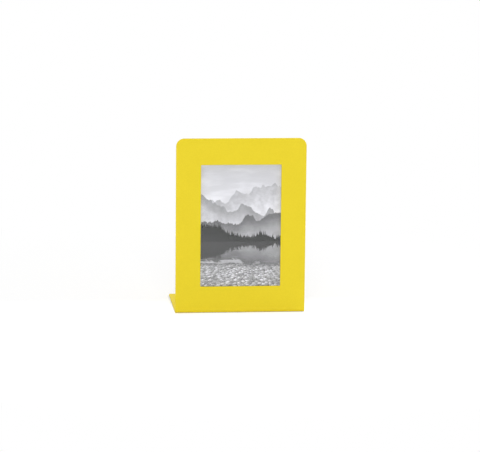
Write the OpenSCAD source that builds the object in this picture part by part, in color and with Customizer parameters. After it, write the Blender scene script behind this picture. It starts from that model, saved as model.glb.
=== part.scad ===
// Tabletop picture frame, bent from one steel sheet, for a 4 by 6 inch print.
// Rails welded behind the window locate the glass, the print and the board,
// and swivel buttons on the rails hold them forward. The pack lifts out at the top.
// Sizes are in millimetres: +X to the viewer's right, +Y to the back, +Z up.
// The origin is the middle of the footprint, on the surface that the frame stands on.

/* [Sheet] */
// Thickness of the bent sheet
sheet_t = 1.5; // [1:0.1:2.5]
// Inside radius of the bend between the panel and the foot
bend_r = 2; // [1:0.5:5]
// Width of the panel on each side of the window
side_border = 29.5; // [26:0.5:45]
// Height of the panel above the window
top_border = 31.5; // [20:0.5:60]
// Height of the panel below the window, from the underside of the foot
bottom_border = 32; // [28:0.2:60]
// Depth of the frame, from the front of the panel to the rear edge of the foot
foot_d = 104; // [80:1:130]
// Radius of the panel's two top corners
top_corner_r = 9.5; // [2:0.5:18]
// Radius of the foot's two rear corners
foot_corner_r = 3; // [1:0.5:10]
// Radius of the window's four corners
window_corner_r = 0.8; // [0.4:0.1:2]

/* [Picture pack] */
// Width of the glass, the print and the board
print_w = 101.6; // [88:0.1:130]
// Height of the glass, the print and the board
print_h = 152.4; // [120:0.1:200]
// Width of the pack's rim that the panel hides all round
lip = 3.3; // [2:0.1:5]
// Thickness of the glass
glass_t = 2; // [1.5:0.1:3]
// Thickness of the printed paper
paper_t = 0.25; // [0.15:0.05:0.5]
// Thickness of the backing board
board_t = 2.5; // [2:0.1:4]
// Gap between each layer of the pack and the next
layer_gap = 0.05; // [0.02:0.01:0.2]
// Gap between the pack's side edges and the side rails
edge_gap = 0.6; // [0.3:0.1:1.5]
// Radius of the thumb notch in the top edge of the board
notch_r = 10; // [6:0.5:16]

/* [Rails] */
// Thickness of the folded rails
rail_t = 1; // [0.6:0.1:1.4]
// Inside radius of the rails' folds
rail_bend_r = 0.6; // [0.3:0.1:1]
// Width of the flange that carries the swivel buttons
seat_w = 10; // [8:0.5:11]
// Width of the flange that is welded to the panel
weld_flange_w = 15; // [13.5:0.5:18]
// Distance that the side rails stop short of the top of the pack
rail_drop = 6; // [2:0.5:15]
// Radius of a spot weld's dent
weld_r = 1.6; // [1:0.1:2]
// Depth of a spot weld's dent
weld_dent = 0.2; // [0.1:0.05:0.4]
// Distance from a rail's end to its first spot weld
weld_end = 12; // [6:1:20]
// Number of spot welds on each side rail
side_welds = 5; // [3:1:8]
// Number of spot welds on the bottom rail
bottom_welds = 4; // [3:1:6]

/* [Swivel buttons] */
// Thickness of a button
button_t = 1; // [0.8:0.1:1.5]
// Radius of a button's round pivot end
pivot_end_r = 5; // [4.25:0.25:6]
// Radius of a button's round tip
tip_r = 3.5; // [2.5:0.25:3.75]
// Distance from a button's pivot to the centre of its tip
button_reach = 12.5; // [9:0.5:16]
// Distance from the pack's lower and upper edges to the buttons' pivots
button_inset = 28; // [20:1:45]
// Running gap around a rivet and on each face of a button
swivel_gap = 0.05; // [0.02:0.01:0.1]

/* [Rivets and washers] */
// Radius of a rivet's shank
rivet_r = 1.5; // [1.2:0.1:1.8]
// Radial gap between a rivet and its hole in the rail
rivet_fit = 0.02; // [0.01:0.01:0.05]
// Radius of a rivet's domed head
head_r = 3.2; // [2.6:0.1:3.6]
// Height of a rivet's domed head
head_h = 1.3; // [0.8:0.1:1.8]
// Radius of a rivet's set tail
tail_r = 2.4; // [2:0.1:2.8]
// Height of a rivet's set tail
tail_h = 0.8; // [0.5:0.1:1.2]
// Radius of a washer
washer_r = 3.8; // [3.2:0.1:4.4]
// Thickness of a washer
washer_t = 0.5; // [0.3:0.1:1]

/* [Foot pads] */
// Radius of a foot pad
pad_r = 6; // [4:0.5:8]
// Thickness of a foot pad
pad_t = 0.5; // [0.3:0.1:3]
// Distance from the foot's side edges to the centres of the pads
pad_side_inset = 12; // [10:0.5:25]
// Distance from the front of the panel, and from the rear of the foot, to the centres of the pads
pad_end_inset = 12; // [11:0.5:30]

/* [Hidden] */
$fn = 64;
// Spare length by which a cutting shape runs past the face that it cuts
overrun = 1;

window_w = print_w - 2 * lip;
window_h = print_h - 2 * lip;
sheet_w = window_w + 2 * side_border;
panel_h = window_h + top_border + bottom_border;
bend_outer_r = bend_r + sheet_t;

// Depths, from the front of the panel to the rear face of the rails
front_y = -foot_d / 2;
back_y = front_y + sheet_t;
glass_y = back_y + layer_gap;
paper_y = glass_y + glass_t + layer_gap;
board_y = paper_y + paper_t + layer_gap;
seat_y = board_y + board_t + layer_gap;
rail_h = seat_y - back_y;
button_y = seat_y + swivel_gap;
washer_y = button_y + button_t + swivel_gap;
rivet_grip = washer_y + washer_t - seat_y + rail_t;

// Heights above the surface that the frame stands on
window_z = pad_t + bottom_border;
pack_z = window_z - lip;
rest_z = pack_z - layer_gap;
side_rail_len = pack_z + print_h - rail_drop - rest_z;

// Places across the width
rail_x = print_w / 2 + edge_gap;
pivot_x = rail_x + seat_w / 2;
weld_x = (seat_w + weld_flange_w) / 2;

// Heights of the lower and the upper pivots above the start of a side rail
pivot_places = [
    pack_z + button_inset - rest_z,
    pack_z + print_h - button_inset - rest_z
];

yellow = [0.91, 0.83, 0.2];
clear_glass = [0.82, 0.9, 0.88, 0.35];
print_grey = [0.66, 0.66, 0.67];
board_brown = [0.42, 0.29, 0.18];
zinc = [0.76, 0.78, 0.8];
nylon = [0.9, 0.89, 0.84];
pad_black = [0.08, 0.08, 0.08];

// Name, side and level of each swivel button, its rivet and its washer
PIVOTS = [
    ["lower_left", -1, 0], ["lower_right", 1, 0],
    ["upper_left", -1, 1], ["upper_right", 1, 1]
];
// Name, side and end of each foot pad
PADS = [
    ["front_left", -1, -1], ["front_right", 1, -1],
    ["rear_left", -1, 1], ["rear_right", 1, 1]
];

// Rectangle with its lower left corner at the origin and four round corners
module rounded_rectangle(w, h, r) {
    translate([r, 0]) square([w - 2 * r, h]);
    translate([0, r]) square([w, h - 2 * r]);
    for (x = [r, w - r], y = [r, h - r])
        translate([x, y]) circle(r);
}

// What a round corner of radius r, centred on the origin, leaves of a square one
module corner_waste(r) {
    difference() {
        square(r + overrun);
        circle(r);
    }
}

// Section of the bent sheet, with its front face at x = 0 and its underside at y = 0
module sheet_section() {
    translate([0, bend_outer_r]) square([sheet_t, panel_h - bend_outer_r]);
    translate([bend_outer_r, 0]) square([foot_d - bend_outer_r, sheet_t]);
    translate([bend_outer_r, bend_outer_r])
        intersection() {
            difference() {
                circle(bend_outer_r);
                circle(bend_r);
            }
            translate([-bend_outer_r, -bend_outer_r]) square(bend_outer_r);
        }
}

// Cuts through the panel: a flat shape, drawn as seen from the front, from the sheet's lower edge
module panel_cut() {
    translate([0, back_y + overrun, pad_t])
        rotate([90, 0, 0])
            linear_extrude(sheet_t + 2 * overrun) children();
}

module frame_sheet() {
    color(yellow)
        difference() {
            translate([-sheet_w / 2, front_y, pad_t])
                rotate([90, 0, 90])
                    linear_extrude(sheet_w) sheet_section();
            panel_cut()
                translate([-window_w / 2, bottom_border])
                    rounded_rectangle(window_w, window_h, window_corner_r);
            for (side = [0, 1]) mirror([side, 0, 0]) {
                panel_cut()
                    translate([sheet_w / 2 - top_corner_r, panel_h - top_corner_r])
                        corner_waste(top_corner_r);
                translate([sheet_w / 2 - foot_corner_r, foot_d / 2 - foot_corner_r, pad_t - overrun])
                    linear_extrude(sheet_t + 2 * overrun)
                        corner_waste(foot_corner_r);
            }
        }
}

// Block from x = 0 to w and y = 0 to h, with round corners on its left side only
module fold_block(w, h, r) {
    translate([r, 0]) square([w - r, h]);
    translate([0, r]) square([w, h - 2 * r]);
    for (y = [r, h - r])
        translate([r, y]) circle(r);
}

// Section of a rail: welded flange at y = 0, wall at x = 0, button flange at y = rail_h
module rail_section() {
    difference() {
        fold_block(weld_flange_w, rail_h, rail_bend_r + rail_t);
        translate([rail_t, rail_t])
            fold_block(weld_flange_w, rail_h - 2 * rail_t, rail_bend_r);
        translate([seat_w, rail_t]) square([weld_flange_w, rail_h]);
    }
}

function weld_places(length, count) =
    [for (i = [0 : count - 1]) weld_end + i * (length - 2 * weld_end) / (count - 1)];

// A rail that runs along +Z, with its wall facing -X and rivet holes at the given places
module rail(length, weld_count, rivet_places) {
    color(yellow)
        difference() {
            linear_extrude(length) rail_section();
            for (z = weld_places(length, weld_count))
                translate([weld_x, rail_t - weld_dent, z])
                    rotate([-90, 0, 0]) cylinder(r = weld_r, h = weld_dent + overrun);
            for (z = rivet_places)
                translate([seat_w / 2, rail_h - rail_t - overrun, z])
                    rotate([-90, 0, 0])
                        cylinder(r = rivet_r + rivet_fit, h = rail_t + 2 * overrun);
        }
}

module right_rail() {
    translate([rail_x, back_y, rest_z])
        rail(side_rail_len, side_welds, pivot_places);
}

module left_rail() {
    mirror([1, 0, 0]) right_rail();
}

module bottom_rail() {
    translate([-rail_x, back_y, rest_z])
        rotate([0, 90, 0]) rail(2 * rail_x, bottom_welds, []);
}

// One flat layer of the pack
module layer(y, thickness) {
    translate([-print_w / 2, y, pack_z]) cube([print_w, thickness, print_h]);
}

module glazing() {
    color(clear_glass) layer(glass_y, glass_t);
}

module print_insert() {
    color(print_grey) layer(paper_y, paper_t);
}

module backing_board() {
    color(board_brown)
        difference() {
            layer(board_y, board_t);
            translate([0, board_y - overrun, pack_z + print_h])
                rotate([-90, 0, 0]) cylinder(r = notch_r, h = board_t + 2 * overrun);
        }
}

// Puts a piece that points along +Z on the rail's rivet line, pointing to the back
module at_pivot(side, level, y) {
    translate([side * pivot_x, y, rest_z + pivot_places[level]])
        rotate([-90, 0, 0]) children();
}

// Outline of a button: a round end about the pivot at the origin and a round-tipped tongue on +X
module button_outline() {
    circle(pivot_end_r);
    translate([0, -tip_r]) square([button_reach, 2 * tip_r]);
    translate([button_reach, 0]) circle(tip_r);
}

module turn_button(side, level) {
    color(zinc)
        at_pivot(side, level, button_y)
            mirror([side > 0 ? 1 : 0, 0, 0])
                difference() {
                    linear_extrude(button_t) button_outline();
                    translate([0, 0, -overrun])
                        cylinder(r = rivet_r + swivel_gap, h = button_t + 2 * overrun);
                }
}

// Half section of a rivet: set tail below y = 0, shank through the grip, domed head above it
module rivet_section() {
    dome_r = (head_r * head_r + head_h * head_h) / (2 * head_h);
    translate([0, -tail_h]) square([tail_r, tail_h]);
    square([rivet_r, rivet_grip]);
    translate([0, rivet_grip])
        intersection() {
            square([head_r, head_h]);
            translate([0, head_h - dome_r]) circle(dome_r);
        }
}

module rivet(side, level) {
    color(zinc)
        at_pivot(side, level, seat_y - rail_t)
            rotate_extrude() rivet_section();
}

module washer(side, level) {
    color(nylon)
        at_pivot(side, level, washer_y)
            difference() {
                cylinder(r = washer_r, h = washer_t);
                translate([0, 0, -overrun])
                    cylinder(r = rivet_r + rivet_fit, h = washer_t + 2 * overrun);
            }
}

module foot_pad(side, end) {
    color(pad_black)
        translate([
            side * (sheet_w / 2 - pad_side_inset),
            end * (foot_d / 2 - pad_end_inset),
            0
        ])
            cylinder(r = pad_r, h = pad_t);
}

frame_sheet();
left_rail();
right_rail();
bottom_rail();
glazing();
print_insert();
backing_board();
for (p = PIVOTS) {
    turn_button(p[1], p[2]);
    rivet(p[1], p[2]);
    washer(p[1], p[2]);
}
for (p = PADS)
    foot_pad(p[1], p[2]);
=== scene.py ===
import math

import bmesh
import bpy
import numpy as np
from mathutils import Matrix, Vector


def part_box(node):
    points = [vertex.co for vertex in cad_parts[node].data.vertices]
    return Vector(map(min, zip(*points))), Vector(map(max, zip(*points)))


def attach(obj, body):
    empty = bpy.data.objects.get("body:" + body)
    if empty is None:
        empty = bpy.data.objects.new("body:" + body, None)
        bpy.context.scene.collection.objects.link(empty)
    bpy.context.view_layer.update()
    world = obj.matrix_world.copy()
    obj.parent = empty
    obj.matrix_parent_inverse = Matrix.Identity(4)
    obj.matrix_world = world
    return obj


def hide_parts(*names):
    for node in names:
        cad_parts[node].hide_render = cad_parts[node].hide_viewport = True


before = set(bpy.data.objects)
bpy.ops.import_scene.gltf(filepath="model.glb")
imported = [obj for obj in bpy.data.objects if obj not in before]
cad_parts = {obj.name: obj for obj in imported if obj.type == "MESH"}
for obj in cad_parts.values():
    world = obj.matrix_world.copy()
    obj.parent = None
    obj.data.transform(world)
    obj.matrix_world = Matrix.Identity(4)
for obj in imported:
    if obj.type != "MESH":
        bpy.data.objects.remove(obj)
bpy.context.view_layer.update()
mm = 0.001

corners = ("lower_left", "lower_right", "upper_left", "upper_right")
padCorners = ("front_left", "front_right", "rear_left", "rear_right")


def span(node):  # lowest and highest corner of a CAD node
    return np.array(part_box(node))


def addObject(name, data):  # a new object in the scene, at the origin
    thing = bpy.data.objects.new(name, data)
    bpy.context.scene.collection.objects.link(thing)
    return thing


sheetLow, sheetHigh = span("frame_sheet")
glassLow, glassHigh = span("glazing")
railFront = span("right_rail")[0][1]
sheetT = railFront - sheetLow[1]  # the rails are welded to the rear face of the panel


# camera, fitted to the edges of the panel, the window and the foot in the photo
viewpoint = {
    "distance": 2.994,
    "turn": math.radians(5.9),  # to the left of the panel's normal
    "rise": math.radians(10.65),
    "roll": math.radians(0.58),
    "aim": (-0.99 * mm, sheetLow[1], sheetLow[2] + 104.73 * mm),
    "focalPixels": 2537.0,
    "frameWidth": 480,
    "sensorWidth": 36.0,
    "clip": (0.05, 100.0),
}


# looks along forward from a point at the given distance behind the aim, then rolls about that line
def makeCamera(v):
    forward = Vector((math.sin(v["turn"]) * math.cos(v["rise"]),
                      math.cos(v["turn"]) * math.cos(v["rise"]), -math.sin(v["rise"])))
    level = Vector((math.cos(v["turn"]), -math.sin(v["turn"]), 0))
    right = Matrix.Rotation(-v["roll"], 3, forward) @ level
    up = right.cross(forward)
    camera = addObject("camera", bpy.data.cameras.new("camera"))
    place = Matrix((right, up, -forward)).transposed().to_4x4()
    place.translation = Vector(v["aim"]) - v["distance"] * forward
    camera.matrix_world = place
    camera.data.sensor_width = v["sensorWidth"]
    camera.data.lens = v["sensorWidth"] * v["focalPixels"] / v["frameWidth"]
    camera.data.clip_start, camera.data.clip_end = v["clip"]
    bpy.context.scene.camera = camera


makeCamera(viewpoint)
print("camera placed")


# node helpers: put a node in a tree and fill its inputs, each with a value or a socket
def putNode(tree, kind, inputs=None, **settings):
    node = tree.nodes.new(kind)
    for key, value in settings.items():
        setattr(node, key, value)
    for key, value in (inputs or {}).items():
        if isinstance(value, bpy.types.NodeSocket):
            tree.links.new(value, node.inputs[key])
        else:
            node.inputs[key].default_value = value
    return node


def coords(tree, kind="Object"):
    return putNode(tree, "ShaderNodeTexCoord").outputs[kind]


def parts(tree, vector):  # the three numbers of a vector
    return putNode(tree, "ShaderNodeSeparateXYZ", {0: vector}).outputs


def joined(tree, x, y, z=0.0):
    return putNode(tree, "ShaderNodeCombineXYZ", {0: x, 1: y, 2: z}).outputs[0]


def stretched(tree, where, scale):
    return putNode(tree, "ShaderNodeMapping", {"Vector": where, "Scale": scale}).outputs[0]


def calc(tree, operation, *values, clamp=False):
    inputs = dict(enumerate(values))
    return putNode(tree, "ShaderNodeMath", inputs, operation=operation, use_clamp=clamp).outputs[0]


def scaled(tree, value, share, base, clamp=False):  # value times share, plus base
    return calc(tree, "MULTIPLY_ADD", value, share, base, clamp=clamp)


def centred(tree, value):  # 0 to 1 becomes -0.5 to 0.5
    return calc(tree, "SUBTRACT", value, 0.5)


# a value carried from one range to another, eased at both ends
def ease(tree, value, low, high, toLow=0.0, toHigh=1.0):
    inputs = {"Value": value, "From Min": low, "From Max": high, "To Min": toLow, "To Max": toHigh}
    return putNode(tree, "ShaderNodeMapRange", inputs, interpolation_type="SMOOTHSTEP").outputs["Result"]


# noise from 0 to 1, in space and along a line; the dictionaries below give its scale, detail and roughness
def noise(tree, where, scale, detail, rough=0.5):
    inputs = {"Vector": where, "Scale": scale, "Detail": detail, "Roughness": rough}
    return putNode(tree, "ShaderNodeTexNoise", inputs).outputs["Fac"]


def noiseAlong(tree, along, scale, detail, rough=0.5):
    inputs = {"W": along, "Scale": scale, "Detail": detail, "Roughness": rough}
    return putNode(tree, "ShaderNodeTexNoise", inputs, noise_dimensions="1D").outputs["Fac"]


def mixColour(tree, factor, first, second):
    inputs = {0: factor, 6: first, 7: second}
    return putNode(tree, "ShaderNodeMix", inputs, data_type="RGBA").outputs[2]


def mixValue(tree, factor, first, second):
    return putNode(tree, "ShaderNodeMix", {0: factor, 2: first, 3: second}).outputs[0]


def bumpFrom(tree, height, distance, strength=1.0, below=None):
    inputs = {"Height": height, "Distance": distance, "Strength": strength}
    if below is not None:
        inputs["Normal"] = below
    return putNode(tree, "ShaderNodeBump", inputs).outputs["Normal"]


def newFinish(name, **sockets):
    material = bpy.data.materials.new(name)
    material.use_nodes = True
    tree = material.node_tree
    shader = tree.nodes["Principled BSDF"]
    for key, value in sockets.items():
        shader.inputs[key.replace("_", " ")].default_value = value
    return material, tree, shader


def feed(tree, node, **sockets):
    for key, value in sockets.items():
        tree.links.new(value, node.inputs[key.replace("_", " ")])


# studio: white floor that keeps the shadow, white surroundings and three soft lamps
studio = {
    "white": 1.0,  # strength at which a background is white
    "worldLevel": 0.45,
    "floorHalf": 12.0,
    "floorColour": (0.86, 0.86, 0.86, 1),
    "floorFade": (0.16, 0.55),  # distances between which the lit floor turns to plain white
    # what the camera sees on top of the lit floor: white all over in front, white outside the shadow behind
    "liftFront": 0.5,
    "liftBehind": 0.13,
    "liftChange": (sheetLow[1], sheetLow[1] + 90 * mm),
    "lampAim": (0, 0, 0.1),
    "lamps": {
        "key": {"at": (-0.35, -3.35, 0.8), "size": 1.4, "watts": 42.0},
        "top": {"at": (0.0, -0.2, 3.1), "size": 2.4, "watts": 36.0},
        "back": {"at": (1.9, 2.6, 2.3), "size": 2.4, "watts": 48.0},
    },
}


# 1 for a ray that shows the background itself: straight or through glass, and in a mirror too
def seenDirectly(tree, mirrored=True):
    path = putNode(tree, "ShaderNodeLightPath").outputs
    seen = calc(tree, "MAXIMUM", path["Is Camera Ray"], path["Is Transmission Ray"])
    return calc(tree, "MAXIMUM", seen, path["Is Glossy Ray"]) if mirrored else seen


def makeWorld(s):
    world = bpy.data.worlds.new("studio")
    bpy.context.scene.world = world
    world.use_nodes = True
    tree = world.node_tree
    inputs = {"Value": seenDirectly(tree), "To Min": s["worldLevel"], "To Max": s["white"]}
    backdrop = tree.nodes["Background"]
    backdrop.inputs["Color"].default_value = (1, 1, 1, 1)
    feed(tree, backdrop, Strength=putNode(tree, "ShaderNodeMapRange", inputs).outputs["Result"])


# near the object the lit floor with its shadow and a lift for the camera, far from it plain white
def makeFloorFinish(s):
    material = bpy.data.materials.new("white_floor")
    material.use_nodes = True
    tree = material.node_tree
    tree.nodes.clear()
    where = coords(tree)
    away = putNode(tree, "ShaderNodeVectorMath", {0: where}, operation="LENGTH").outputs["Value"]
    fade = calc(tree, "MULTIPLY", ease(tree, away, *s["floorFade"]), seenDirectly(tree))
    lit = putNode(tree, "ShaderNodeBsdfDiffuse", {"Color": s["floorColour"]}).outputs[0]
    level = ease(tree, parts(tree, where)["Y"], *s["liftChange"], s["liftFront"], s["liftBehind"])
    level = calc(tree, "MULTIPLY", level, seenDirectly(tree, mirrored=False))
    lift = putNode(tree, "ShaderNodeEmission", {"Strength": level}).outputs[0]
    near = putNode(tree, "ShaderNodeAddShader", {0: lit, 1: lift}).outputs[0]
    far = putNode(tree, "ShaderNodeEmission", {"Strength": s["white"]}).outputs[0]
    mixed = putNode(tree, "ShaderNodeMixShader", {0: fade, 1: near, 2: far}).outputs[0]
    putNode(tree, "ShaderNodeOutputMaterial", {"Surface": mixed})
    return material


def makeFloor(s):
    mesh = bpy.data.meshes.new("floor")
    square = np.array([(-1, -1, 0), (1, -1, 0), (1, 1, 0), (-1, 1, 0)]) * s["floorHalf"]
    mesh.from_pydata(square.tolist(), [], [(0, 1, 2, 3)])
    mesh.materials.append(makeFloorFinish(s))
    addObject("floor", mesh)


def makeLamps(s):
    for name, lamp in s["lamps"].items():
        data = bpy.data.lights.new(name, "AREA")
        data.shape, data.size, data.energy = "DISK", lamp["size"], lamp["watts"]
        light = addObject(name, data)
        light.location = lamp["at"]
        toAim = Vector(s["lampAim"]) - light.location
        light.rotation_euler = toAim.to_track_quat("-Z", "Y").to_euler()


makeWorld(studio)
makeFloor(studio)
makeLamps(studio)
bpy.context.scene.view_settings.view_transform = "Standard"
print("studio lit")


# quads of a grid of rows by columns: down one row, along one column, and back up
def gridFaces(rows, columns, wrap=False):
    index = np.arange(rows * columns).reshape(rows, columns)
    if wrap:
        index = np.concatenate([index, index[:, :1]], axis=1)
    quads = [index[:-1, :-1], index[1:, :-1], index[1:, 1:], index[:-1, 1:]]
    return np.stack(quads, axis=-1).reshape(-1, 4)


# points that fall on the same place become one, and the faces are numbered again
def weld(points, faces, size=1e-7):
    _, first, number = np.unique(np.round(points / size), axis=0, return_index=True, return_inverse=True)
    return points[first], number.reshape(-1)[faces]


# a closed solid between two faces that share one grid: the near face, the far face turned round,
# and a wall on each edge of the near face that only one quad uses
def closedSheet(near, far, faces):
    count = len(near)
    start, end = faces, np.roll(faces, -1, axis=1)
    rim = ~np.isin((start * count + end).ravel(), (end * count + start).ravel())
    a, b = start.ravel()[rim], end.ravel()[rim]
    walls = np.stack([b, a, a + count, b + count], axis=-1)
    return np.concatenate([near, far]), np.concatenate([faces, faces[:, ::-1] + count, walls])


# a profile of radius and height turned about an axis: radius times cosine and sine, plus the height
def spun(radius, height, centre, axis, steps):
    turn = np.linspace(0, 2 * np.pi, steps, endpoint=False)
    points = np.empty((len(radius), steps, 3))
    points[..., (axis + 1) % 3] = radius[:, None] * np.cos(turn)
    points[..., (axis + 2) % 3] = radius[:, None] * np.sin(turn)
    points[..., axis] = height[:, None]
    return points.reshape(-1, 3) + centre


# the same profile as a solid, with its first and last ring closed by a flat
def spunSolid(radius, height, centre, axis, steps):
    points = spun(radius, height, centre, axis, steps)
    ring = np.arange(steps)
    ends = [ring.tolist(), (ring + len(points) - steps).tolist()]
    return points, gridFaces(len(radius), steps, wrap=True).tolist() + ends


# an arc of a circle as two rows, first across and then up
def arc(across, up, radius, fromDeg, toDeg, steps):
    turn = np.radians(np.linspace(fromDeg, toDeg, steps + 1))
    return across + radius * np.cos(turn), up + radius * np.sin(turn)


roundFrom = math.radians(40)  # edges that turn by more than this are rounded
sideways = 0.5  # a face looks sideways if its normal has less than this along the depth


# a mesh piece that rides on a body, stands for a node and has its edges rounded
def makePiece(name, points, faces, body, node, finish, rounding=None, segments=3):
    mesh = bpy.data.meshes.new(name)
    mesh.from_pydata(points.tolist(), [], [list(face) for face in faces])
    shell = bmesh.new()
    shell.from_mesh(mesh)
    bmesh.ops.recalc_face_normals(shell, faces=shell.faces)
    shell.to_mesh(mesh)
    shell.free()
    mesh.polygons.foreach_set("use_smooth", np.ones(len(mesh.polygons), bool))
    piece = addObject(name, mesh)
    mesh.materials.append(finish)
    if rounding:
        bevel = piece.modifiers.new("rounding", "BEVEL")
        bevel.width, bevel.segments = rounding, segments
        bevel.limit_method, bevel.angle_limit = "ANGLE", roundFrom
    piece.modifiers.new("shading", "WEIGHTED_NORMAL").keep_sharp = True
    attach(piece, body)
    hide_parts(node)
    return piece


# faces whose normal lies between two shares of straight back take a second finish
def addFinish(piece, finish, least, most):
    mesh = piece.data
    mesh.materials.append(finish)
    facing = np.empty(len(mesh.polygons) * 3, np.float32)
    mesh.polygons.foreach_get("normal", facing)
    back = facing.reshape(-1, 3)[:, 1]
    mesh.polygons.foreach_set("material_index", ((back > least) & (back < most)).astype(np.int32))


# yellow powder coat: satin, with a fine orange peel over a slow ripple, and painted shade in the peel and its
# pits
powderCoat = {
    "colour": (0.835, 0.663, 0.027, 1),
    # deeper yellow, for the cloud's real tone and for the painted shade of peel and pits
    "deeperToneAndShade": (0.79, 0.622, 0.023, 1),
    "gloss": 0.1,
    "roughness": 0.42,
    # each noise, the part of its range that deepens the colour and by how much, and what it adds in
    # roughness; the cloud deepens it as a real tone, the peel and the grain as painted shade
    "cloud": (45.0, 3.0),
    "cloudDeepens": (0.3, 0.75),
    "cloudShare": 0.2,
    "cloudRough": 0.08,
    "peel": (800.0, 2.0),
    "peelPaintedShade": (0.3, 0.7),
    "peelShadeShare": 0.6,
    "peelDepth": 0.09 * mm,
    "grain": (3200.0, 1.0),
    "grainPaintedShade": (0.6, 0.72),
    # painted shade: how much the grain's specks darken the colour
    "grainShare": 0.5,
    "grainRough": 0.08,
    "grainDepth": 0.02 * mm,
}


def makePowderCoat(p):
    material, tree, shader = newFinish("yellow_powder_coat", Specular_IOR_Level=p["gloss"])
    where = coords(tree)
    cloud, peel, grain = [noise(tree, where, *p[name]) for name in ("cloud", "peel", "grain")]
    deep = calc(tree, "MULTIPLY", ease(tree, cloud, *p["cloudDeepens"]), p["cloudShare"])
    # painted shade: peel and grain darken the colour in mottling and specks, standing in for shade in the
    # coat's hollows and pits
    deep = scaled(tree, ease(tree, peel, *p["peelPaintedShade"]), p["peelShadeShare"], deep)
    deep = scaled(tree, ease(tree, grain, *p["grainPaintedShade"]), p["grainShare"], deep)
    feed(tree, shader, Base_Color=mixColour(tree, deep, p["colour"], p["deeperToneAndShade"]))
    rough = scaled(tree, cloud, p["cloudRough"], p["roughness"])
    feed(tree, shader, Roughness=scaled(tree, grain, p["grainRough"], rough))
    fine = bumpFrom(tree, grain, p["grainDepth"])
    feed(tree, shader, Normal=bumpFrom(tree, peel, p["peelDepth"], below=fine))
    return material


yellowCoat = makePowderCoat(powderCoat)


# bent sheet: a flat blank of panel and foot, rolled round the bend
bentSheet = {
    "lip": 3.3 * mm,  # rim of the glass that the panel hides
    "windowCorner": 0.8 * mm,
    "topCorner": 9.5 * mm,
    "footCorner": 3.0 * mm,
    "insideBend": 2.0 * mm,
    "edgeRounding": 0.35 * mm,
    "cornerSteps": 16,
    "bendSteps": 14,
    "acrossSteps": 7,
    "alongSteps": 26,
}


# rectangle run anticlockwise from the lower end of its left side: each corner is an arc about a point
# one radius inside it, and a square corner is that arc pushed out to the square around it
def outline(halfWidth, low, high, radii, square, cornerSteps, sideSteps):
    centres = np.array([(-halfWidth, low), (halfWidth, low), (halfWidth, high), (-halfWidth, high)])
    inward = np.array([(1, 1), (-1, 1), (-1, -1), (1, -1)])
    centres = centres + inward * np.array(radii)[:, None]
    turn = np.radians(np.linspace(180, 270, cornerSteps + 1) + 90 * np.arange(4)[:, None])
    spoke = np.stack([np.cos(turn), np.sin(turn)], axis=-1)
    pushed = spoke / np.abs(spoke).max(axis=-1, keepdims=True)
    spoke = np.where(np.array(square)[:, None, None], pushed, spoke)
    corner = centres[:, None] + np.array(radii)[:, None, None] * spoke
    share = np.linspace(0, 1, sideSteps + 1)[None, 1:-1, None]
    side = corner[:, -1:] * (1 - share) + np.roll(corner, -1, axis=0)[:, :1] * share
    return np.concatenate([corner, side], axis=1).reshape(-1, 2)


# bend and foot: rows along the blank below the bend line, on the columns of the panel's lower edge;
# the square of a rear corner becomes a quarter disc, each share shortened by the other's square
def footBlank(s, columns, bendLength, footLength):
    corner = s["footCorner"]
    rows = np.concatenate([
        np.linspace(0, bendLength, s["bendSteps"] + 1),
        bendLength + np.linspace(0, footLength - corner, s["alongSteps"])[1:],
        bendLength + np.linspace(footLength - corner, footLength, s["cornerSteps"] // 2 + 1)[1:]])
    across, along = np.meshgrid(columns, rows)
    overX = np.clip((np.abs(across) - sheetHigh[0] + corner) / corner, 0, 1)
    overY = np.clip((along - bendLength - footLength + corner) / corner, 0, 1)
    across = across - np.sign(across) * corner * overX * (1 - np.sqrt(1 - overY ** 2 / 2))
    along = along - corner * overY * (1 - np.sqrt(1 - overX ** 2 / 2))
    return np.stack([across, -along], axis=-1).reshape(-1, 2), gridFaces(*across.shape)


# point of the blank on the bent sheet, at a depth below its outer face: straight up the panel above
# the bend line, round the bend by the angle that the length spans, then straight back along the foot
def rolled(blank, depth, outerBend):
    across, along = blank[:, 0], blank[:, 1]
    angle = np.clip(-along / outerBend, 0, np.pi / 2)
    radius = outerBend - depth
    beyond = np.maximum(-along - outerBend * np.pi / 2, 0)
    y = sheetLow[1] + outerBend - radius * np.cos(angle) + beyond
    z = sheetLow[2] + outerBend - radius * np.sin(angle) + np.maximum(along, 0)
    return np.stack([across, y, z], axis=-1)


# the panel is rings between the window's outline and its own, each at a share of the way
def makeSheet(s):
    outerBend = s["insideBend"] + sheetT
    bendLine = sheetLow[2] + outerBend  # the blank's zero, where the panel starts to bend
    steps = s["cornerSteps"], s["alongSteps"]
    windowLow, windowHigh = glassLow[2] + s["lip"] - bendLine, glassHigh[2] - s["lip"] - bendLine
    window = outline(glassHigh[0] - s["lip"], windowLow, windowHigh,
                     [s["windowCorner"]] * 4, [False] * 4, *steps)
    edge = outline(sheetHigh[0], 0.0, sheetHigh[2] - bendLine,
                   [s["footCorner"], s["footCorner"], s["topCorner"], s["topCorner"]],
                   [True, True, False, False], *steps)
    share = np.linspace(0, 1, s["acrossSteps"] + 1)[:, None, None]
    panel = (window * (1 - share) + edge * share).reshape(-1, 2)
    panelFaces = gridFaces(s["acrossSteps"] + 1, len(edge), wrap=True)
    first = s["cornerSteps"] // 2  # the lower edge runs from the middle of one corner's arc to the other's
    columns = edge[first:first + sum(steps) + 1, 0]
    footLength = sheetHigh[1] - sheetLow[1] - outerBend
    foot, footFaces = footBlank(s, columns, outerBend * np.pi / 2, footLength)

    blank, faces = weld(np.concatenate([panel, foot]), np.concatenate([panelFaces, footFaces + len(panel)]))
    points, faces = closedSheet(rolled(blank, 0.0, outerBend), rolled(blank, sheetT, outerBend), faces)
    makePiece("bent_sheet", points, faces, "frame", "frame_sheet", yellowCoat,
              s["edgeRounding"])


makeSheet(bentSheet)
print("sheet bent")


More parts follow.
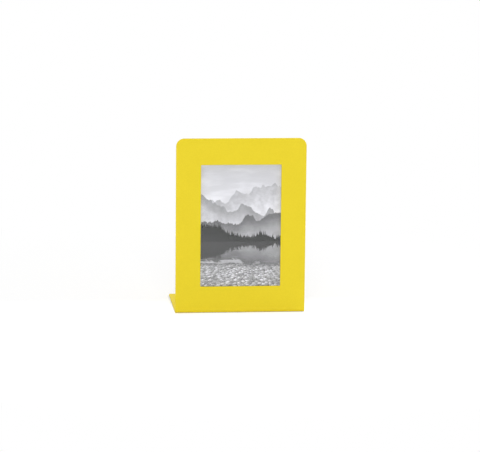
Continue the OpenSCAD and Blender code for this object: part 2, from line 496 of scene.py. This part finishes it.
# folded rails: a channel section carried along its length, dented where it is spot-welded
foldedRail = {
    "stockT": 1.0 * mm,
    "insideBend": 0.6 * mm,
    "seatWidth": 10.0 * mm,  # flange under the buttons; the welded flange runs on past it
    "edgeRounding": 0.16 * mm,
    "edgeSegments": 2,
    "bendSteps": 8,
    "exposedPoints": 16,  # across the welded flange past the seat
    "coveredPoints": 5,  # across the welded flange under the seat
    "seatPoints": 8,
    "weldRadius": 1.6 * mm,
    "weldDent": 0.2 * mm,
    "weldEnd": 12.0 * mm,  # from a rail's end to its first weld
    "weldStations": 19,  # across each weld
    # sizes in a weld's own radii: reach of the stations, floor, wall, and the ring round it
    "weldReach": 1.7,
    "floorTo": 0.6,
    "wallWidth": 0.5,
    "ringAt": 1.25,
    "ringWidth": 0.18,
    "ringHeight": 0.2,  # as a share of the dent
    "places": {
        "rail_right": {"node": "right_rail", "welds": 5, "lengthAxis": 2, "widthAxis": 0, "flipped": False},
        "rail_left": {"node": "left_rail", "welds": 5, "lengthAxis": 2, "widthAxis": 0, "flipped": True},
        "rail_bottom": {"node": "bottom_rail", "welds": 4, "lengthAxis": 0, "widthAxis": 2, "flipped": True},
    },
}


# outer face of the section, from the welded flange's edge round the wall to the seat's edge,
# and the direction into the metal at each point
def railSection(r, width, height):
    bend = r["insideBend"] + r["stockT"]
    lowTurn, lowUp = arc(bend, bend, bend, 270, 180, r["bendSteps"])
    highTurn, highUp = arc(bend, height - bend, bend, 180, 90, r["bendSteps"])
    exposed = np.linspace(width, r["seatWidth"], r["exposedPoints"])
    covered = np.linspace(r["seatWidth"], bend, r["coveredPoints"])[1:-1]
    seat = np.linspace(bend, r["seatWidth"], r["seatPoints"])[1:]
    across = np.concatenate([exposed, covered, lowTurn, highTurn, seat])
    up = np.concatenate([exposed * 0, covered * 0, lowUp, highUp, seat * 0 + height])
    flat = len(exposed) + len(covered)
    angle = np.radians(np.concatenate([np.full(flat, 90), np.linspace(90, 0, len(lowTurn)),
                                       np.linspace(0, -90, len(highTurn)), np.full(len(seat), -90)]))
    return np.stack([across, up], -1), np.stack([np.cos(angle), np.sin(angle)], -1)


# depth of a weld's dent at a distance from its centre: a flat floor, a soft wall and a low ring outside
def weldDepth(away, r):
    out = away / r["weldRadius"]
    share = np.clip((out - r["floorTo"]) / r["wallWidth"], 0, 1)
    floor = 1 - share * share * (3 - 2 * share)
    ring = r["ringHeight"] * np.exp(-((out - r["ringAt"]) / r["ringWidth"]) ** 2)
    return r["weldDent"] * (floor - ring)


# the section at stations along the rail, close together at each weld; the inner face lies one
# thickness of stock inside the outer face, and sinks into it at the welds
def makeRail(name, r, node, welds, lengthAxis, widthAxis, flipped):
    low, high = span(node)
    size = high - low
    width, length = size[widthAxis], size[lengthAxis]
    section, inward = railSection(r, width, size[1])
    centres = np.linspace(r["weldEnd"], length - r["weldEnd"], welds)
    around = np.linspace(-r["weldReach"], r["weldReach"], r["weldStations"]) * r["weldRadius"]
    stations = np.concatenate([[0], (centres[:, None] + around).ravel(), [length]])
    outer = np.broadcast_to(section[:, None], (len(section), len(stations), 2))
    inner = outer + r["stockT"] * inward[:, None]
    weldLine = (r["seatWidth"] + width) / 2
    away = np.hypot(inner[..., 0, None] - weldLine, stations[None, :, None] - centres).min(axis=-1)
    isExposed = np.arange(len(section)) < r["exposedPoints"]
    sunk = np.where(isExposed[:, None], weldDepth(away, r), 0)
    inner = inner - np.stack([sunk * 0, sunk], -1)

    def placed(face):  # section across and up, and the station, to the rail's own place
        points = np.empty(face.shape[:2] + (3,))
        points[..., 1] = low[1] + face[..., 1]
        points[..., lengthAxis] = low[lengthAxis] + stations
        points[..., widthAxis] = high[widthAxis] - face[..., 0] if flipped else low[widthAxis] + face[..., 0]
        return points.reshape(-1, 3)

    points, faces = closedSheet(placed(outer), placed(inner), gridFaces(len(section), len(stations)))
    makePiece(name, points, faces, "frame", node, yellowCoat,
              r["edgeRounding"], r["edgeSegments"])


for name, place in foldedRail["places"].items():
    makeRail(name, foldedRail, **place)
print("rails folded")


# a flat layer of the pack: a grid of columns and rows, upright, between its front and rear planes
def layerSolid(low, high, across, up):
    front = np.stack([across, np.full(across.shape, low[1]), up], -1).reshape(-1, 3)
    rear = front + (0, high[1] - low[1], 0)
    return closedSheet(front, rear, gridFaces(*across.shape))


# a whole rectangle as such a layer, from left to right and from the top down
def plainLayer(low, high, columns=5, rows=7):
    across, up = np.meshgrid(np.linspace(low[0], high[0], columns), np.linspace(high[2], low[2], rows))
    return layerSolid(low, high, across, up)


# clear glass: a faint green tint, a trace of wiping on the face and ground edges
glassPane = {
    "edgeRounding": 0.3 * mm,
    "edgeSegments": 2,
    "refraction": 1.5,
    "tint": (0.975, 0.992, 0.985, 1),
    "passing": (0.96, 0.965, 0.963, 1),  # share of the light that each face lets through
    "polish": 0.0,
    "smear": 0.03,  # roughness where it was wiped
    "wiping": (30.0, 4.0, 0.6),
    "wipingShows": (0.55, 0.9),
    "ground": (0.38, 0.57, 0.49, 1),
    "groundPale": (0.58, 0.74, 0.67, 1),
    "groundGloss": 0.4,
    "groundRough": 0.4,
    "grit": (2500.0, 4.0, 0.7),
    "gritPales": (0.3, 0.7),
    "gritRough": 0.3,
    "gritDepth": 0.01 * mm,
}


# lamps and scattered light pass straight through to the print, and every other ray meets the glass itself
def letLightThrough(tree, shader, passing):
    path = putNode(tree, "ShaderNodeLightPath").outputs
    clear = putNode(tree, "ShaderNodeBsdfTransparent", {"Color": passing}).outputs[0]
    inputs = {0: path["Is Diffuse Ray"], 1: shader.outputs[0], 2: clear}
    scattered = putNode(tree, "ShaderNodeMixShader", inputs).outputs[0]
    inputs = {0: path["Is Shadow Ray"], 1: scattered, 2: clear}
    surface = putNode(tree, "ShaderNodeMixShader", inputs).outputs[0]
    feed(tree, tree.nodes["Material Output"], Surface=surface)


def makeClearGlass(g):
    material, tree, shader = newFinish("clear_glass", Base_Color=g["tint"], Roughness=g["polish"],
                                       IOR=g["refraction"], Transmission_Weight=1.0)
    wiped = noise(tree, coords(tree), *g["wiping"])
    feed(tree, shader, Roughness=ease(tree, wiped, *g["wipingShows"], g["polish"], g["smear"]))
    letLightThrough(tree, shader, g["passing"])
    return material


def makeGroundEdge(g):
    material, tree, shader = newFinish("ground_edge", Specular_IOR_Level=g["groundGloss"])
    grit = noise(tree, coords(tree), *g["grit"])
    pale = ease(tree, grit, *g["gritPales"])
    feed(tree, shader, Base_Color=mixColour(tree, pale, g["ground"], g["groundPale"]))
    feed(tree, shader, Roughness=scaled(tree, grit, g["gritRough"], g["groundRough"]))
    feed(tree, shader, Normal=bumpFrom(tree, grit, g["gritDepth"]))
    return material


def makeGlass(g):
    points, faces = plainLayer(glassLow, glassHigh)
    pane = makePiece("glass_pane", points, faces, "glazing", "glazing", makeClearGlass(g),
                     g["edgeRounding"], g["edgeSegments"])
    addFinish(pane, makeGroundEdge(g), -sideways, sideways)


makeGlass(glassPane)
print("glass cut")


# print: a greyscale view of a still lake below hills, drawn on the print's own map, with 0 to 1 across
# and 0 to 1.5 up; four numbers are a range and the greys or shares that it is carried to
lakePrint = {
    "tall": 1.5,
    "waterLine": 0.56,
    "roughness": 0.42,
    "gloss": 0.15,
    "inkTint": (1.0, 0.977, 1.053),  # a cool black
    "grain": (420.0, 1.0),
    "grainShare": 0.1,
    "sky": {
        "low": 0.9,
        "high": 0.7,
        "lowAt": 0.35,  # above the water line
        "cloud": (2.3, 6.0, 0.55),
        "cloudStretch": 3.2,
        "cloudAdds": (0.42, 0.72, -0.06, 0.1),
    },
    # far to near: height of the crest, its swing, bumps and tilt, grey above and mist below,
    # the mist's depth, and the height of its trees
    "hills": [
        dict(crest=1.13, swing=0.3, bumps=2.2, tilt=0.16, grey=0.56, mist=0.84, deep=0.3, trees=0),
        dict(crest=0.97, swing=0.22, bumps=3.1, tilt=-0.2, grey=0.36, mist=0.74, deep=0.26, trees=0),
        dict(crest=0.81, swing=0.14, bumps=3.9, tilt=0.14, grey=0.15, mist=0.46, deep=0.22, trees=0.018),
        dict(crest=0.655, swing=0.11, bumps=2.6, tilt=-0.2, grey=0.004, mist=0.02, deep=0.15, trees=0.06),
    ],
    "slope": {
        "start": 1.3,  # place of the first hill's crest along the noise
        "step": 3.7,  # from one hill's place to the next one's
        "rugged": (8.0, 0.52),  # detail and roughness of a crest
        "broadShare": 0.48,  # share of a crest's swing that its broadest wave makes
        "mistFrom": -0.02,
        "relief": (14.0, 7.0, 0.62),
        "reliefStep": 0.7,
        "reliefShare": 0.9,
        "soft": 0.005,
    },
    "firs": {
        "counts": (34.0, 53.0),  # in each row
        "taper": -2.3,
        "least": 0.25,  # share of the full height
    },
    "water": {
        "edge": 0.004,
        "rippleStretch": (5.0, 70.0, 1.0),
        "ripple": (1.0, 3.0),
        "swell": (0.0, 0.26, 0.02, 0.12),  # waves look larger towards the viewer
        "glint": (0.08, 0.3),
        "glintNear": (0.02, 0.24, 0.05, 0.45),
        "mirrors": 0.72,
        "haze": 0.03,
    },
    "beach": {
        "shore": 0.3,
        "shoreWave": (4.0, 5.0),
        "shoreSwing": 0.09,
        "shoreSoft": (-0.004, 0.006),
        "wetBand": (0.0, 0.06, 0.45, 1.0),
        "horizon": 0.62,  # where the beach's perspective would end
        "grit": (160.0, 2.0),
        "gritGrey": 0.4,
        "stoneScales": (31.0, 12.0),
        "light": (-0.6, 0.8, 0.0),
        "lightShare": 0.9,
        "round": (0.2, 0.7, 1.1, 0.7),  # brightness of a stone from its middle outwards
        "darkest": 0.22,
        "paler": 0.6,  # by chance
        "speckle": 9.0,  # scale, for a stone's scale of one
        "speckleDetail": 4.0,
        "speckleShare": 0.7,
        "rim": (0.02, 0.12),
        "corner": (0.7, 0.5),
    },
    "paper": {
        "colour": (0.8, 0.8, 0.78, 1),
        "shade": (0.74, 0.73, 0.7, 1),
        "roughness": 0.7,
        "gloss": 0.25,
        "pulp": (900.0, 5.0, 0.65),
        "pulpDepth": 0.008 * mm,
    },
}


def chanceOf(tree, cell):  # one number from 0 to 1 for each cell
    return putNode(tree, "ShaderNodeSeparateColor", {0: cell["Color"]}).outputs[0]


# row of firs: each is a tent about a scattered centre, tall by chance, and the taller of two rows shows
def treeLine(tree, across, tall, seed, f):
    rows = []
    for count in f["counts"]:
        inputs = {"W": calc(tree, "ADD", across, seed + count), "Scale": count}
        fir = putNode(tree, "ShaderNodeTexVoronoi", inputs, voronoi_dimensions="1D").outputs
        tent = scaled(tree, fir["Distance"], f["taper"], 1.0, clamp=True)
        height = scaled(tree, chanceOf(tree, fir), 1 - f["least"], f["least"])
        rows.append(calc(tree, "MULTIPLY", tent, height))
    return calc(tree, "MULTIPLY", calc(tree, "MAXIMUM", *rows), tall)


# one hill: its crest is a tilted line plus noise, and perhaps trees; below the crest it covers what lies
# beyond, dark at the top and paler towards the mist at its foot
def drawHill(tree, across, up, beyond, number, k):
    hill, slope = k["hills"][number], k["slope"]
    along = calc(tree, "ADD", across, slope["step"] * number + slope["start"])
    middle = scaled(tree, centred(tree, across), hill["tilt"], hill["crest"])
    rugged = centred(tree, noiseAlong(tree, along, hill["bumps"], *slope["rugged"]))
    broad = centred(tree, noiseAlong(tree, along, hill["bumps"], 0.0))
    crest = scaled(tree, rugged, 2 * hill["swing"], middle)
    smooth = scaled(tree, broad, 2 * hill["swing"] * slope["broadShare"], middle)
    if hill["trees"]:
        crest = calc(tree, "ADD", crest, treeLine(tree, across, hill["trees"], number, k["firs"]))
    below = calc(tree, "SUBTRACT", smooth, up)
    body = ease(tree, below, slope["mistFrom"], hill["deep"], hill["grey"], hill["mist"])
    reliefMap = joined(tree, across, up, slope["reliefStep"] * number)
    relief = centred(tree, noise(tree, reliefMap, *slope["relief"]))
    body = calc(tree, "MULTIPLY", body, scaled(tree, relief, slope["reliefShare"], 1.0))
    covers = ease(tree, calc(tree, "SUBTRACT", crest, up), 0.0, slope["soft"])
    return mixValue(tree, covers, beyond, body)


# a pale sky with clouds, and the hills before it from far to near
def drawHills(tree, across, up, k):
    sky = k["sky"]
    cloudMap = joined(tree, across, calc(tree, "MULTIPLY", up, sky["cloudStretch"]))
    cloud = ease(tree, noise(tree, cloudMap, *sky["cloud"]), *sky["cloudAdds"])
    clear = ease(tree, up, k["waterLine"] + sky["lowAt"], k["tall"], sky["low"], sky["high"])
    grey = calc(tree, "ADD", clear, cloud)
    for number in range(len(k["hills"])):
        grey = drawHill(tree, across, up, grey, number, k)
    return grey


# above the water line the hills, below it their image upside down, shaken and streaked by ripples
def drawLake(tree, across, up, k):
    water = k["water"]
    rippleMap = stretched(tree, joined(tree, across, up), water["rippleStretch"])
    ripple = centred(tree, noise(tree, rippleMap, *water["ripple"]))
    depth = calc(tree, "SUBTRACT", k["waterLine"], up)
    inWater = ease(tree, depth, 0.0, water["edge"])
    swell = ease(tree, depth, *water["swell"])
    shaken = calc(tree, "MULTIPLY", calc(tree, "MULTIPLY", ripple, inWater), swell)
    mirrored = calc(tree, "ADD", calc(tree, "ABSOLUTE", depth), k["waterLine"])
    view = drawHills(tree, calc(tree, "ADD", across, shaken), calc(tree, "ADD", mirrored, shaken), k)
    nearness = ease(tree, depth, *water["glintNear"])
    glint = calc(tree, "MULTIPLY", ease(tree, ripple, *water["glint"]), nearness)
    surface = scaled(tree, view, water["mirrors"], calc(tree, "ADD", glint, water["haze"]))
    return mixValue(tree, inWater, view, surface)


# one layer of stones: each cell has its own grey, is lit along the light and darker away from its centre,
# and covers the layer below out to a rounded rim
def stoneLayer(tree, ground, scale, below, b):
    inputs = {"Vector": ground, "Scale": scale}
    cell = putNode(tree, "ShaderNodeTexVoronoi", inputs, voronoi_dimensions="2D").outputs
    rim = putNode(tree, "ShaderNodeTexVoronoi", inputs, voronoi_dimensions="2D", feature="DISTANCE_TO_EDGE")
    offset = putNode(tree, "ShaderNodeVectorMath", {0: ground, 1: cell["Position"]}, operation="SUBTRACT")
    inputs = {0: offset.outputs[0], 1: b["light"]}
    toLight = putNode(tree, "ShaderNodeVectorMath", inputs, operation="DOT_PRODUCT").outputs["Value"]
    lit = scaled(tree, toLight, b["lightShare"] * scale, ease(tree, cell["Distance"], *b["round"]))
    stone = calc(tree, "MULTIPLY", scaled(tree, chanceOf(tree, cell), b["paler"], b["darkest"]), lit)
    speckle = noise(tree, ground, b["speckle"] * scale, b["speckleDetail"])
    speckle = scaled(tree, speckle, b["speckleShare"], 1 - b["speckleShare"] / 2)
    inside = ease(tree, rim.outputs[0], *b["rim"])
    inside = calc(tree, "MULTIPLY", inside, ease(tree, cell["Distance"], *b["corner"]))
    return mixValue(tree, inside, below, calc(tree, "MULTIPLY", stone, speckle))


# beach in perspective: the ground's depth is one over the height below the horizon, with grit,
# small stones on it and large stones on those
def drawStones(tree, across, up, b):
    depth = calc(tree, "DIVIDE", 1.0, calc(tree, "SUBTRACT", b["horizon"], up))
    ground = joined(tree, calc(tree, "MULTIPLY", centred(tree, across), depth), depth)
    grey = calc(tree, "MULTIPLY", noise(tree, ground, *b["grit"]), b["gritGrey"])
    for scale in b["stoneScales"]:
        grey = stoneLayer(tree, ground, scale, grey, b)
    return grey


# the lake, and before it the beach up to a wavy shore, wet and dark along its edge
def makePrintFinish(k):
    material, tree, shader = newFinish("lake_print", Roughness=k["roughness"], Specular_IOR_Level=k["gloss"])
    beach = k["beach"]
    place = parts(tree, coords(tree, "UV"))
    across, up = place[0], calc(tree, "MULTIPLY", place[1], k["tall"])
    wave = noiseAlong(tree, across, *beach["shoreWave"])
    shore = scaled(tree, wave, beach["shoreSwing"], beach["shore"] - beach["shoreSwing"] / 2)
    belowShore = calc(tree, "SUBTRACT", shore, up)
    wet = ease(tree, belowShore, *beach["wetBand"])
    stones = calc(tree, "MULTIPLY", drawStones(tree, across, up, beach), wet)
    onBeach = ease(tree, belowShore, *beach["shoreSoft"])
    grey = mixValue(tree, onBeach, drawLake(tree, across, up, k), stones)
    grain = noise(tree, joined(tree, across, up), *k["grain"])
    grain = scaled(tree, grain, k["grainShare"], 1 - k["grainShare"] / 2)
    grey = calc(tree, "MULTIPLY", grey, grain, clamp=True)
    ink = [calc(tree, "MULTIPLY", grey, share) for share in k["inkTint"]]
    feed(tree, shader, Base_Color=putNode(tree, "ShaderNodeCombineColor", dict(enumerate(ink))).outputs[0])
    return material


def makePaperFinish(p):
    material, tree, shader = newFinish("paper_back", Roughness=p["roughness"], Specular_IOR_Level=p["gloss"])
    pulp = noise(tree, coords(tree), *p["pulp"])
    feed(tree, shader, Base_Color=mixColour(tree, pulp, p["colour"], p["shade"]))
    feed(tree, shader, Normal=bumpFrom(tree, pulp, p["pulpDepth"]))
    return material


# the front face takes the picture and the rest is bare paper; the map is the share of width and height
def makePrint(k):
    low, high = span("print_insert")
    points, faces = plainLayer(low, high)
    piece = makePiece("paper_print", points, faces, "print", "print_insert",
                      makePrintFinish(k))
    addFinish(piece, makePaperFinish(k["paper"]), -sideways, math.inf)
    mesh = piece.data
    corner = np.empty(len(mesh.loops), np.int32)
    mesh.loops.foreach_get("vertex_index", corner)
    place = np.empty(len(mesh.vertices) * 3, np.float32)
    mesh.vertices.foreach_get("co", place)
    share = ((place.reshape(-1, 3) - low) / (high - low))[corner][:, (0, 2)]
    mesh.uv_layers.new(name="picture").data.foreach_set("uv", share.astype(np.float32).ravel())


makePrint(lakePrint)
print("print made")


# backing board: brown hardboard, smooth in front, with the imprint of the press screen behind
hardboard = {
    "notchRadius": 10.0 * mm,
    "sideRays": 18,
    "bottomRays": 9,
    "rings": 8,
    "edgeRounding": 0.3 * mm,
    "edgeSegments": 2,
    "dark": (0.135, 0.068, 0.03, 1),
    "light": (0.27, 0.155, 0.078, 1),
    "gloss": 0.3,
    "roughness": 0.5,
    "fibre": (900.0, 6.0, 0.7),
    "fibreStretch": (1.0, 1.0, 0.35),
    "fibreShare": 0.65,
    "fibreRough": 0.25,
    "fibreDepth": 0.03 * mm,
    "fibreBump": 0.6,
    "cloud": (60.0, 3.0),
    "cloudShare": 0.35,
    "screenPitch": 1.3 * mm,
    "screenDepth": 0.09 * mm,
    "screenFaces": (0.4, 0.8),  # how far a face looks straight back before the screen shows on it
    "screenShare": 0.25,
    "darken": 0.1,
    "toneRange": (0.25, 0.75),
}


# the screen is a product of two rectified sine waves
def makeHardboardFinish(h):
    material, tree, shader = newFinish("hardboard", Specular_IOR_Level=h["gloss"])
    where = coords(tree)
    wave = math.pi / h["screenPitch"]
    axis = parts(tree, where)
    turns = [calc(tree, "MULTIPLY", axis[name], wave) for name in ("X", "Z")]
    ribs = [calc(tree, "ABSOLUTE", calc(tree, "SINE", turn)) for turn in turns]
    behind = ease(tree, parts(tree, coords(tree, "Normal"))["Y"], *h["screenFaces"])
    screen = calc(tree, "MULTIPLY", calc(tree, "MULTIPLY", *ribs), behind)
    fibre = noise(tree, stretched(tree, where, h["fibreStretch"]), *h["fibre"])
    cloud = calc(tree, "MULTIPLY", noise(tree, where, *h["cloud"]), h["cloudShare"])
    tone = calc(tree, "SUBTRACT", scaled(tree, fibre, h["fibreShare"], cloud), h["darken"])
    tone = ease(tree, scaled(tree, screen, h["screenShare"], tone), *h["toneRange"])
    feed(tree, shader, Base_Color=mixColour(tree, tone, h["dark"], h["light"]))
    feed(tree, shader, Roughness=scaled(tree, fibre, h["fibreRough"], h["roughness"]))
    fine = bumpFrom(tree, fibre, h["fibreDepth"], h["fibreBump"])
    feed(tree, shader, Normal=bumpFrom(tree, screen, h["screenDepth"], below=fine))
    return material


# a fan about the notch's centre in the top edge: from left to right, each ray runs from the notch's
# half circle to the board's outline, and one ray on each side meets a lower corner
def makeBoard(h):
    low, high = span("backing_board")
    halfWidth, height = high[0], high[2] - low[2]
    corner = math.atan2(height, halfWidth)  # how far below level the ray to a lower corner points
    left = np.linspace(0, corner, h["sideRays"], endpoint=False)
    bottom = np.linspace(corner, np.pi - corner, h["bottomRays"] + 1)
    below = np.concatenate([left, bottom, np.pi - left[::-1]])
    across, down = -np.cos(below), np.sin(below)
    toSide, toBottom = np.abs(across) / halfWidth, np.abs(down) / height
    reach = 1 / np.maximum(toSide, toBottom)
    share = np.linspace(0, 1, h["rings"] + 1)[:, None]
    away = h["notchRadius"] * (1 - share) + reach * share
    points, faces = layerSolid(low, high, across * away, high[2] - down * away)
    makePiece("hardboard_back", points, faces, "backing", "backing_board",
              makeHardboardFinish(h), h["edgeRounding"], h["edgeSegments"])


makeBoard(hardboard)
print("board cut")


# bright zinc plate: cold grey metal with fine rolling lines and a cloudy passivation
zincPlate = {
    "bright": (0.58, 0.6, 0.63, 1),
    "dull": (0.42, 0.45, 0.49, 1),
    "roughness": 0.22,
    "cloud": (300.0, 4.0),
    "cloudDulls": (0.3, 0.7),
    "cloudRough": 0.2,
    "lines": (5000.0, 3.0, 0.6),
    "lineStretch": (0.12, 1.0, 1.0),
    "lineDepth": 0.004 * mm,
}


def makeZinc(z):
    material, tree, shader = newFinish("zinc_plate", Metallic=1.0)
    where = coords(tree)
    lines = noise(tree, stretched(tree, where, z["lineStretch"]), *z["lines"])
    cloud = noise(tree, where, *z["cloud"])
    dulled = ease(tree, cloud, *z["cloudDulls"])
    feed(tree, shader, Base_Color=mixColour(tree, dulled, z["bright"], z["dull"]))
    feed(tree, shader, Roughness=scaled(tree, cloud, z["cloudRough"], z["roughness"]))
    feed(tree, shader, Normal=bumpFrom(tree, lines, z["lineDepth"]))
    return material


zinc = makeZinc(zincPlate)


# swivel buttons: a round end about the rivet and a tongue whose tip is turned up for a finger
turnButton = {
    "bore": 1.55 * mm,
    "roundEnd": 5.0 * mm,
    "tipRadius": 3.5 * mm,
    "reach": 12.5 * mm,
    "tipLift": 0.55 * mm,
    "liftFrom": 10.5 * mm,
    "edgeRounding": 0.2 * mm,
    "tipSteps": 24,
    "endSteps": 44,
    "sideSteps": 5,
    "rings": 8,
}


# outline from the tip's arc, back along one side, round the pivot and out along the other side
def buttonOutline(b):
    meet = math.degrees(math.asin(b["tipRadius"] / b["roundEnd"]))
    tipX, tipZ = arc(b["reach"], 0, b["tipRadius"], -90, 90, b["tipSteps"])
    endX, endZ = arc(0, 0, b["roundEnd"], meet, 360 - meet, b["endSteps"])
    side = np.linspace(b["reach"], endX[0], b["sideSteps"] + 1)[1:-1]
    edge = np.full(len(side), b["tipRadius"])
    return np.concatenate([tipX, side, endX, side[::-1]]), np.concatenate([tipZ, edge, endZ, -edge])


# rings from the bore to the outline, each point at a share of the way along its spoke; past a line the
# tongue lifts by the square of the share of the way to its tip
def makeButton(corner, b):
    node = "turn_button_" + corner
    low, high = span(node)
    pivot = span("rivet_" + corner).mean(axis=0)
    inward = 1 if "left" in corner else -1
    outX, outZ = buttonOutline(b)
    share = np.linspace(0, 1, b["rings"] + 1)[:, None]
    spoke = b["bore"] / np.hypot(outX, outZ) * (1 - share) + share
    reach, side = outX * spoke, outZ * spoke
    rise = np.clip((reach - b["liftFrom"]) / (b["reach"] + b["tipRadius"] - b["liftFrom"]), 0, 1)
    lift = b["tipLift"] * rise * rise
    front = np.stack([pivot[0] + inward * reach, low[1] + lift, pivot[2] + side], -1).reshape(-1, 3)
    rear = front + (0, high[1] - low[1], 0)
    points, faces = closedSheet(front, rear, gridFaces(*reach.shape, wrap=True))
    makePiece("button_" + corner, points, faces, "button_" + corner, node, zinc,
              b["edgeRounding"])


# rivets: a profile turned about the rivet's line, dome and rim, then shank, then set tail
rivetForm = {
    "headRadius": 3.2 * mm,
    "headHeight": 1.3 * mm,
    "rim": 0.25 * mm,
    "shankRadius": 1.5 * mm,
    "tailRadius": 2.4 * mm,
    "tailHeight": 0.8 * mm,
    "pole": 0.04 * mm,  # radius of the small flat that closes each end
    "edgeRounding": 0.12 * mm,
    "edgeSegments": 2,
    "domeSteps": 12,
    "turnSteps": 56,
}


def makeRivet(corner, v):
    node = "rivet_" + corner
    low, high = span(node)
    crown = v["headHeight"] - v["rim"]
    domeRadius = (v["headRadius"] ** 2 + crown ** 2) / (2 * crown)
    edge = math.degrees(math.acos(v["headRadius"] / domeRadius))
    pole = math.degrees(math.acos(v["pole"] / domeRadius))
    domeR, domeY = arc(0, high[1] - domeRadius, domeRadius, pole, edge, v["domeSteps"])
    under = high[1] - v["headHeight"]
    tail = low[1] + v["tailHeight"]
    radius = np.concatenate([domeR, [v["headRadius"], v["shankRadius"], v["shankRadius"], v["tailRadius"],
                                     v["tailRadius"], v["pole"]]])
    height = np.concatenate([domeY, [under, under, tail, tail, low[1], low[1]]])
    points, faces = spunSolid(radius, height, (low + high) / 2 * (1, 0, 1), 1, v["turnSteps"])
    makePiece("pivot_rivet_" + corner, points, faces, "frame", node, zinc,
              v["edgeRounding"], v["edgeSegments"])


# washers: a flat ring of natural nylon
nylonWasher = {
    "bore": 1.52 * mm,
    "edgeRounding": 0.14 * mm,
    "turnSteps": 56,
    "colour": (0.74, 0.71, 0.61, 1),
    "shade": (0.64, 0.61, 0.5, 1),
    "roughness": 0.45,
    "milky": 0.15,  # share of the light that goes under the skin
    "milkyDepth": 0.4 * mm,
    "flow": (700.0, 3.0),
    "flowDepth": 0.01 * mm,
}


def makeNylon(w):
    material, tree, shader = newFinish("nylon", Roughness=w["roughness"], Subsurface_Weight=w["milky"],
                                       Subsurface_Scale=w["milkyDepth"])
    flow = noise(tree, coords(tree), *w["flow"])
    feed(tree, shader, Base_Color=mixColour(tree, flow, w["colour"], w["shade"]))
    feed(tree, shader, Normal=bumpFrom(tree, flow, w["flowDepth"]))
    return material


nylon = makeNylon(nylonWasher)


def makeWasher(corner, w):
    node = "washer_" + corner
    low, high = span(node)
    centre = (low + high) / 2 * (1, 0, 1)
    radius = np.array([w["bore"], (high[0] - low[0]) / 2])
    front, rear = [spun(radius, np.full(2, y), centre, 1, w["turnSteps"]) for y in (low[1], high[1])]
    points, faces = closedSheet(front, rear, gridFaces(2, w["turnSteps"], wrap=True))
    makePiece("ring_" + corner, points, faces, "frame", node, nylon, w["edgeRounding"])


for corner in corners:
    makeButton(corner, turnButton)
    makeRivet(corner, rivetForm)
    makeWasher(corner, nylonWasher)
print("buttons riveted")


# foot pads: black closed-cell foam, skinned, with a soft lower edge
footPad = {
    "edgeRounding": 0.3 * mm,
    "edgeSteps": 6,
    "pole": 0.1 * mm,  # radius of the small flat that closes each end
    "turnSteps": 64,
    "colour": (0.017, 0.017, 0.018, 1),
    "pale": (0.04, 0.04, 0.041, 1),
    "gloss": 0.35,
    "roughness": 0.62,
    "dust": (500.0, 4.0),
    "dustPales": (0.35, 0.8),
    "dustRough": 0.2,
    "cellScale": 2600.0,
    "cellDepth": 0.05 * mm,
}


def makePadFoam(f):
    material, tree, shader = newFinish("pad_foam", Specular_IOR_Level=f["gloss"])
    where = coords(tree)
    cells = putNode(tree, "ShaderNodeTexVoronoi", {"Vector": where, "Scale": f["cellScale"]})
    dust = noise(tree, where, *f["dust"])
    dusty = ease(tree, dust, *f["dustPales"])
    feed(tree, shader, Base_Color=mixColour(tree, dusty, f["colour"], f["pale"]))
    feed(tree, shader, Roughness=scaled(tree, dust, f["dustRough"], f["roughness"]))
    feed(tree, shader, Normal=bumpFrom(tree, cells.outputs["Distance"], f["cellDepth"]))
    return material


padFoam = makePadFoam(footPad)


# a profile turned about the pad's middle: flat top, side, a quarter circle at the lower edge, flat underside
def makePad(corner, f):
    node = "foot_pad_" + corner
    low, high = span(node)
    radius, rounding = (high[0] - low[0]) / 2, f["edgeRounding"]
    edgeR, edgeZ = arc(radius - rounding, low[2] + rounding, rounding, 0, -90, f["edgeSteps"])
    profileR = np.concatenate([[f["pole"], radius], edgeR, [f["pole"]]])
    profileZ = np.concatenate([[high[2], high[2]], edgeZ, [low[2]]])
    points, faces = spunSolid(profileR, profileZ, (low + high) / 2 * (1, 1, 0), 2, f["turnSteps"])
    makePiece("pad_" + corner, points, faces, "frame", node, padFoam)


for corner in padCorners:
    makePad(corner, footPad)
print("pads stuck on")
